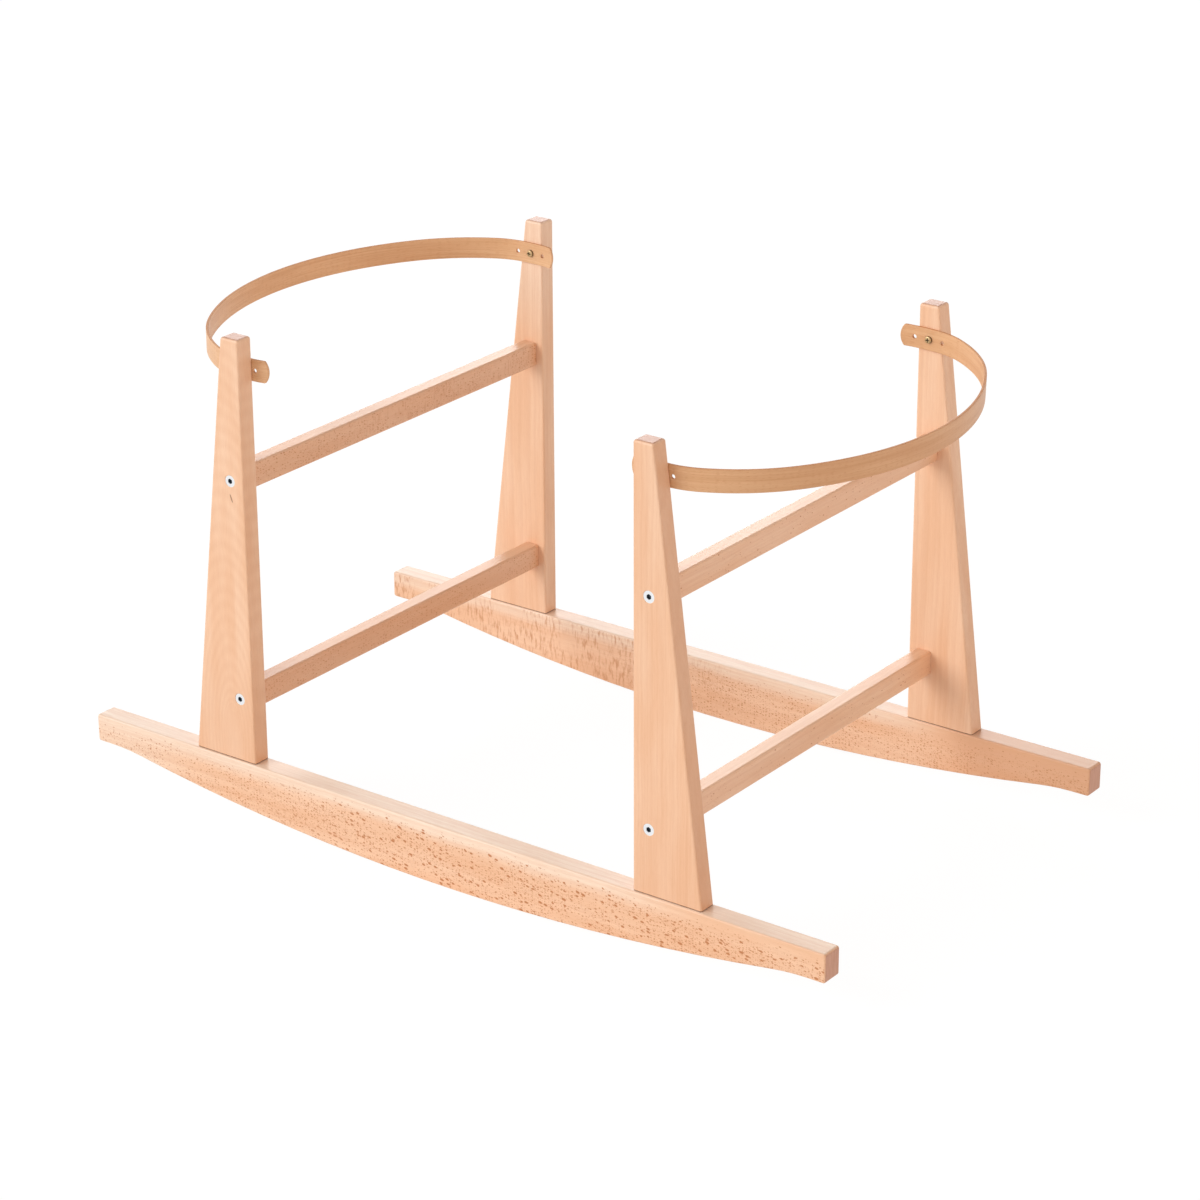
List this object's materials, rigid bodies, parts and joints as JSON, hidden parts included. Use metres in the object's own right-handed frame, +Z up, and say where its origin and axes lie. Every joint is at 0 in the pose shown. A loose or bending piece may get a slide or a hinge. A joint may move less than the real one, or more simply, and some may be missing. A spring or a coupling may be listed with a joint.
{
  "type": "rocking moses basket stand",
  "caption": "Wooden rocking stand for a moses basket, with tapered posts on curved rockers, crossbars that carry the basket and tilting bentwood hoops at its ends.",
  "frame": {"origin": "on the floor under the middle of the stand, where both rockers touch the floor at rest", "axes": "+X along the rockers to the right end, +Y across the stand to the back rocker, +Z up"},
  "size_m": [0.9, 0.507, 0.5119],
  "materials": {
    "rocker_beech": "satin clear lacquer, grain along the rocker",
    "post_beech": "satin clear lacquer, grain along the post",
    "crossbar_beech": "satin clear lacquer, grain along the bar",
    "hoop_beech": "satin clear lacquer, grain along the bent strip",
    "dowel_beech": "bare wood, glued",
    "bolt_steel": "bright zinc plating",
    "nut_steel": "dull zinc plating",
    "screw_brass": "satin brass plating"
  },
  "bodies": {
    "frame": {"rocker_front": "rocker_beech", "rocker_back": "rocker_beech", "post_front_left": "post_beech", "post_front_right": "post_beech", "post_back_left": "post_beech", "post_back_right": "post_beech", "crossbar_left_lower": "crossbar_beech", "crossbar_left_upper": "crossbar_beech", "crossbar_right_lower": "crossbar_beech", "crossbar_right_upper": "crossbar_beech", "crossbar_bolts_left": "bolt_steel", "crossbar_bolts_right": "bolt_steel", "barrel_nuts_left": "nut_steel", "barrel_nuts_right": "nut_steel", "crossbar_dowels_left": "dowel_beech", "crossbar_dowels_right": "dowel_beech", "foot_dowels_front": "dowel_beech", "foot_dowels_back": "dowel_beech", "hoop_screws_left": "screw_brass", "hoop_screws_right": "screw_brass"},
    "hoop_left": {"hoop_left": "hoop_beech"},
    "hoop_right": {"hoop_right": "hoop_beech"}
  },
  "joints": [
    {"name": "hoop_left_tilt", "type": "hinge", "parent": "frame", "child": "hoop_left", "pos_m": [-0.24719, 0, 0.477], "axis": [0, 1, 0], "range_deg": [-70, 180]},
    {"name": "hoop_right_tilt", "type": "hinge", "parent": "frame", "child": "hoop_right", "pos_m": [0.24719, 0, 0.477], "axis": [0, -1, 0], "range_deg": [-70, 180]}
  ]
}
